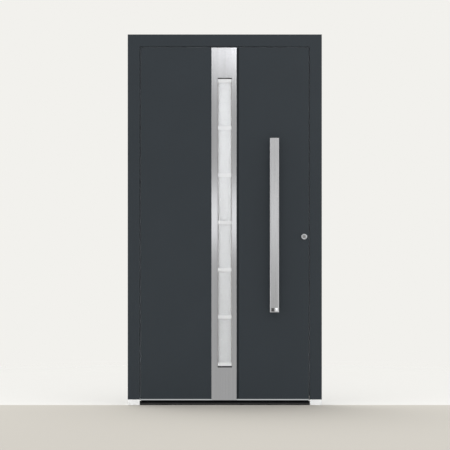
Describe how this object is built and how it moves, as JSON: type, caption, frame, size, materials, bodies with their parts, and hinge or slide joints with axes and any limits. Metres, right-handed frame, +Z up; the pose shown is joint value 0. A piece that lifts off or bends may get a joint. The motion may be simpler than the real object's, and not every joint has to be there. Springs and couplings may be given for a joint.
{
  "type": "aluminium entrance door",
  "caption": "Flush aluminium entrance door in a thermally broken frame, with a brushed steel strip, a tall frosted glass slot, a long pull bar, a keyed lock and a low threshold.",
  "frame": {"origin": "middle of the threshold's underside, at half the frame's depth", "axes": "+X to the right seen from outside, towards the lock; +Y into the room; +Z up"},
  "size_m": [1.1, 0.2055, 2.1],
  "materials": {
    "anthracite_coating": "fine-textured satin powder coat, anthracite grey",
    "break_plastic": "black glass-fibre polyamide",
    "threshold_plastic": "black moulded threshold profile",
    "insert_plastic": "dark grey extruded insert",
    "foot_plastic": "white moulded plastic",
    "seal_rubber": "black sealing rubber",
    "edge_composite": "grey composite edge profile",
    "foam": "rigid foam",
    "bare_aluminium": "natural satin anodised",
    "brushed_steel": "stainless, brushed lengthwise",
    "polished_steel": "polished stainless",
    "satin_steel": "satin stainless",
    "plug_brass": "nickel-plated brass",
    "clear_glass": "clear float glass",
    "frosted_glass": "satin frosted",
    "band_glass": "bright satin glass",
    "spacer_metal": "grey warm-edge spacer",
    "pad_foam": "white sealing pad"
  },
  "bodies": {
    "frame": {"hinge_jamb_outer_shell": "anthracite_coating", "hinge_jamb_inner_shell": "anthracite_coating", "hinge_jamb_thermal_break": "break_plastic", "lock_jamb_outer_shell": "anthracite_coating", "lock_jamb_inner_shell": "anthracite_coating", "lock_jamb_thermal_break": "break_plastic", "head_outer_shell": "anthracite_coating", "head_inner_shell": "anthracite_coating", "head_thermal_break": "break_plastic", "hinge_jamb_foot": "foot_plastic", "lock_jamb_foot": "foot_plastic", "threshold": "threshold_plastic", "threshold_insert": "insert_plastic", "frame_gasket": "seal_rubber", "strike_plates": "satin_steel", "hinge_frame_halves": "anthracite_coating", "hinge_pins": "satin_steel"},
    "leaf": {"leaf_hinge_stile": "edge_composite", "leaf_lock_stile": "edge_composite", "leaf_top_rail": "edge_composite", "leaf_bottom_rail": "edge_composite", "insulation_core": "foam", "outer_skin": "anthracite_coating", "inner_skin": "anthracite_coating", "steel_strip": "brushed_steel", "glazing_gasket": "seal_rubber", "outer_pane": "clear_glass", "middle_pane": "clear_glass", "inner_pane": "clear_glass", "glass_spacers": "spacer_metal", "frosted_field": "frosted_glass", "glass_bands": "band_glass", "glazing_bead": "anthracite_coating", "drip_profile": "bare_aluminium", "bottom_seal": "seal_rubber", "corner_seal_pad": "pad_foam", "pull_bar": "satin_steel", "pull_top_cap": "satin_steel", "pull_foot": "satin_steel", "pull_standoffs": "satin_steel", "lock_cylinder": "plug_brass", "outer_rose": "satin_steel", "inner_rose": "satin_steel", "lever_rose": "satin_steel", "inside_lever": "satin_steel", "lock_faceplate": "satin_steel", "lock_bolts": "polished_steel", "hinge_leaf_halves": "anthracite_coating"},
    "plug": {"key_plug": "plug_brass"}
  },
  "joints": [
    {"name": "leaf_swing", "type": "hinge", "parent": "frame", "child": "leaf", "pos_m": [-0.5, 0.056, 1.05], "axis": [0, 0, 1], "range_deg": [0, 100]},
    {"name": "key_turn", "type": "hinge", "parent": "leaf", "child": "plug", "pos_m": [0.45, -0.05, 0.954], "axis": [0, 1, 0], "continuous": true}
  ]
}
